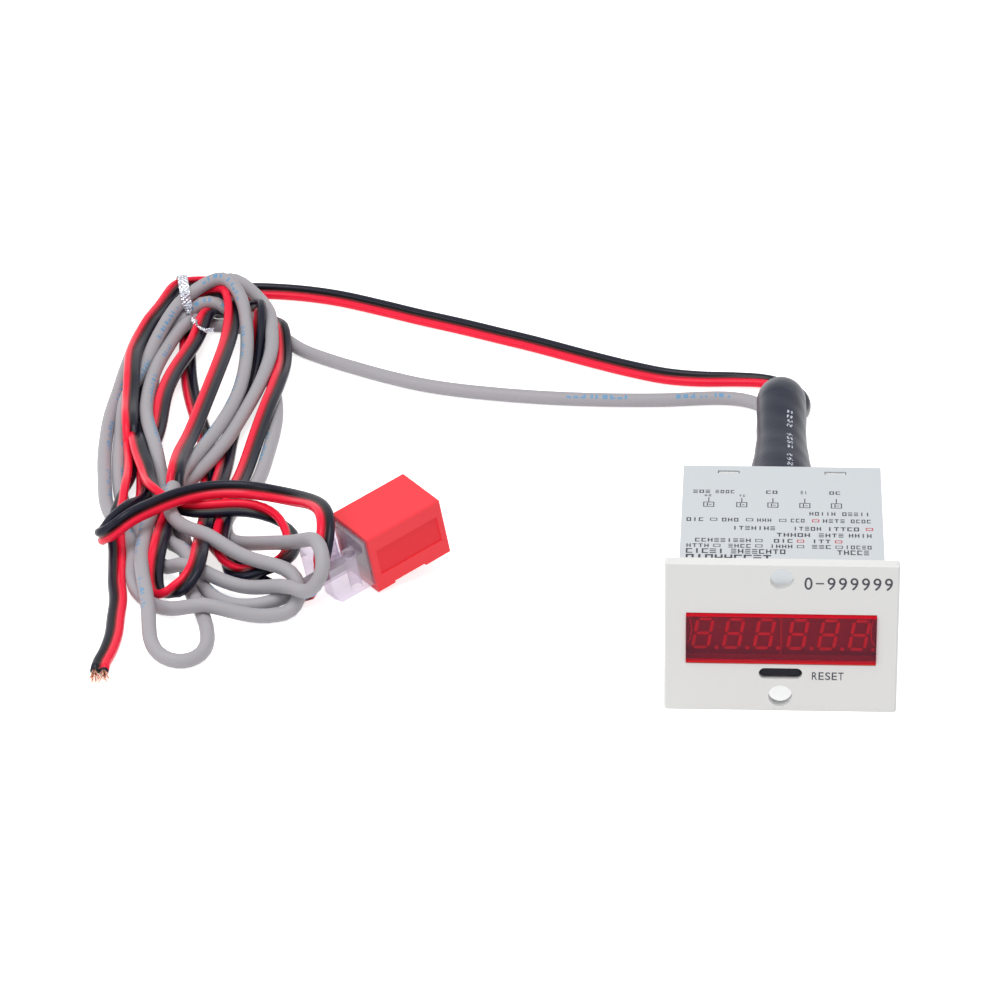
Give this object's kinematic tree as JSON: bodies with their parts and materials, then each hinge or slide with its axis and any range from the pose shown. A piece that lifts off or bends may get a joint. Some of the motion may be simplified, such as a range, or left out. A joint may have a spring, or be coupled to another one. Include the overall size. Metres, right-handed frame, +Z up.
{
  "type": "panel counter",
  "caption": "Six-digit panel counter with a reset button, a boxed case behind its bezel, a shrunk cable sleeve, a twin supply lead and a proximity sensor on a grey lead",
  "frame": {"origin": "centre of the two panel screw holes, on the rear face of the bezel that meets the panel", "axes": "+Y runs from the bezel back into the panel, +Z is up, +X is to the right of the bezel seen from the front"},
  "size_m": [0.228, 0.2513, 0.0436],
  "materials": {
    "case_plastic": "satin",
    "red_window": "gloss",
    "black_plastic": "satin",
    "display_plastic": "satin",
    "board": "satin",
    "plain_metal": "brushed",
    "capacitor_sleeve": "gloss",
    "green_plastic": "satin",
    "shrunk_sleeve": "matte",
    "grey_lead": "satin",
    "red_lead": "satin",
    "copper": "plain",
    "foil": "foil",
    "red_plastic": "satin",
    "clear_plastic": "gloss"
  },
  "bodies": {
    "counter": {"housing": "case_plastic", "rear_cover": "case_plastic", "display_window": "red_window", "switch_body": "black_plastic", "display_left": "display_plastic", "display_right": "display_plastic", "display_board": "board", "main_board": "board", "board_header": "black_plastic", "controller_chip": "black_plastic", "driver_chip": "black_plastic", "memory_chip": "black_plastic", "optocoupler": "case_plastic", "crystal": "plain_metal", "filter_capacitors": "capacitor_sleeve", "voltage_regulator": "black_plastic", "terminal_strip": "green_plastic", "terminal_screws": "plain_metal", "cable_sleeve": "shrunk_sleeve", "grey_lead_run": "grey_lead", "twin_lead_run": "red_lead", "lead_hank": "grey_lead", "grey_lead_tail": "grey_lead", "twin_lead_tail": "red_lead", "copper_ends": "copper", "twist_tie": "foil", "sensor_cap": "red_plastic", "sensor_body": "clear_plastic", "sensor_coil": "black_plastic", "sensor_board": "board", "sensor_led": "red_window"},
    "reset": {"reset_button": "black_plastic", "switch_plunger": "black_plastic"}
  },
  "joints": [
    {"name": "reset_press", "type": "slide", "parent": "counter", "child": "reset", "axis": [0, 1, 0], "range_m": [0, 0.0008], "stiffness_N_per_m": 400}
  ]
}
